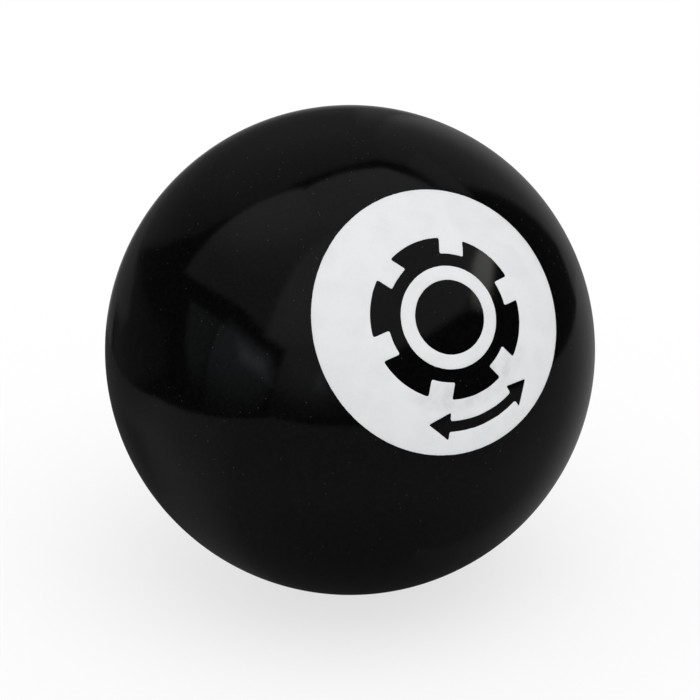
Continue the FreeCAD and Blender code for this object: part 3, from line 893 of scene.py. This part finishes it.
def make_sun():
    """One wide soft light from above, a little in front, for form and a contact shadow."""
    data = bpy.data.lights.new("soft_light", "SUN")
    data.energy = SUN_STRENGTH
    data.angle = SUN_WIDTH
    sun = bpy.data.objects.new("soft_light", data)
    sun.rotation_euler = towards(*SUN_FROM).to_track_quat("Z", "Y").to_euler()
    sun.visible_glossy = False
    bpy.context.scene.collection.objects.link(sun)


# The floor in the ball's gloss is a table, whose corners are in metres. It is dark under the ball and
# shaded behind it. It is brighter on the window's side, and on the right as seen from a place in front
# of the ball. The sides are azimuths in degrees, as for the cards.
TABLE = (
    (0.245, 0.1),
    (-0.045, 0.1),
    (-0.118, 0.05),
    (-0.225, -0.135),
    (-0.1, -0.215),
    (0.185, -0.2),
)
TABLE_EDGE = 3 * MM
TABLE_LIGHT = 0.118
TABLE_GLEAM = 0.092
CONTACT = Vector((0, -0.005, 0))
CAST_SHADE = Vector((-0.025, 0.04, 0))
SHADED_SIDE = -178
BRIGHT_SIDE = 140
WINDOW_SIDE = -98
FLOOR_COLOUR = (0.9, 0.9, 0.9, 1)
FLOOR_ROUGHNESS = 0.9
FLOOR_GLOW = (1.08, 1.08, 1.08, 1)
GLOW_SHARE = 0.65
BRIGHT_FROM = Vector((0, -0.03, 0))


def within(tree, place, corners, soft):
    """1 inside a patch of the floor whose corners run anticlockwise, 0 outside it."""
    least = None
    for start, end in zip(corners, corners[1:] + corners[:1]):
        start, end = Vector(start), Vector(end)
        inward = Vector((start.y - end.y, end.x - start.x)).normalized()
        distance = calculate(tree, "SUBTRACT", dot(tree, place, (*inward, 0)), inward.dot(start))
        least = distance if least is None else calculate(tree, "MINIMUM", least, distance)
    return ease(tree, least, -soft, soft)


def spot(tree, place, centre, near, far, to_near):
    """to_near within a distance near of a centre, eased to 1 at far."""
    gap = put(tree, "ShaderNodeVectorMath", {0: place, 1: tuple(centre)}, operation="DISTANCE")
    return ease(tree, gap.outputs["Value"], near, far, to_near, 1)


def side(tree, place, origin, azimuth, near, far, to_near, to_far):
    """to_near in the directions within near degrees of an azimuth about an origin, and to_far beyond far."""
    away = put(tree, "ShaderNodeVectorMath", {0: place, 1: tuple(origin)}, operation="SUBTRACT")
    way = put(tree, "ShaderNodeVectorMath", {0: away.outputs["Vector"]}, operation="NORMALIZE")
    turned = dot(tree, way.outputs["Vector"], towards(azimuth, 0))
    return ease(tree, turned, math.cos(math.radians(far)), math.cos(math.radians(near)), to_far, to_near)


def table_light(tree, place):
    """How bright the table is in the ball's gloss."""
    contact = spot(tree, place, CONTACT, near=2 * MM, far=60 * MM, to_near=0.15)
    cast = spot(tree, place, CAST_SHADE, near=18 * MM, far=46 * MM, to_near=0.42)
    behind = side(tree, place, (0, 0, 0), SHADED_SIDE, near=10, far=70, to_near=0.42, to_far=1)
    shade = calculate(tree, "MULTIPLY", contact, calculate(tree, "MINIMUM", cast, behind))
    by_window = side(tree, place, (0, 0, 0), WINDOW_SIDE, near=0, far=30, to_near=1.35, to_far=1)
    shade = calculate(tree, "MULTIPLY", shade, by_window)
    right = side(tree, place, BRIGHT_FROM, BRIGHT_SIDE, near=0, far=50, to_near=TABLE_GLEAM, to_far=0)
    clear = spot(tree, place, CONTACT, near=14 * MM, far=34 * MM, to_near=0)
    gleam = calculate(tree, "MULTIPLY", right, clear)
    return calculate(tree, "MULTIPLY", calculate(tree, "ADD", gleam, TABLE_LIGHT), shade)


def make_floor():
    """A pale floor. In the ball's gloss it is a dim table that ends, with the room beyond it."""
    mesh = bpy.data.meshes.new("floor")
    corners = ((-1, -1), (1, -1), (1, 1), (-1, 1))
    mesh.from_pydata([(x * FLOOR_HALF_SIZE, y * FLOOR_HALF_SIZE, 0) for x, y in corners], [], [(0, 1, 2, 3)])
    material, tree, shader = new_material("pale_floor")
    shader.inputs["Base Color"].default_value = FLOOR_COLOUR
    shader.inputs["Roughness"].default_value = FLOOR_ROUGHNESS
    shader.inputs["Specular IOR Level"].default_value = 0.0
    place = object_place(tree)
    table = put(tree, "ShaderNodeEmission", {"Strength": table_light(tree, place)}).outputs[0]
    beyond = put(tree, "ShaderNodeBsdfTransparent").outputs[0]
    values = {0: within(tree, place, TABLE, TABLE_EDGE), 1: beyond, 2: table}
    in_gloss = put(tree, "ShaderNodeMixShader", values).outputs[0]
    # To the eye the floor glows a little, so that the shadow on it stays light.
    path = put(tree, "ShaderNodeLightPath")
    glow = put(tree, "ShaderNodeEmission", {"Color": FLOOR_GLOW}).outputs[0]
    share = calculate(tree, "MULTIPLY", path.outputs["Is Camera Ray"], GLOW_SHARE)
    seen = put(tree, "ShaderNodeMixShader", {0: share, 1: shader.outputs[0], 2: glow}).outputs[0]
    mixed = put(tree, "ShaderNodeMixShader", {0: path.outputs["Is Glossy Ray"], 1: seen, 2: in_gloss})
    tree.links.new(mixed.outputs[0], tree.nodes["Material Output"].inputs["Surface"])
    mesh.materials.append(material)
    floor = bpy.data.objects.new("floor", mesh)
    bpy.context.scene.collection.objects.link(floor)


make_camera()
make_world()
make_sun()
make_floor()
make_ball(make_ball_rubber())
make_print(make_white_ink())
valve_rubber = make_valve_rubber()
make_valve_insert(valve_rubber)
make_valve_plug(valve_rubber)
bpy.context.scene.view_settings.view_transform = "Standard"
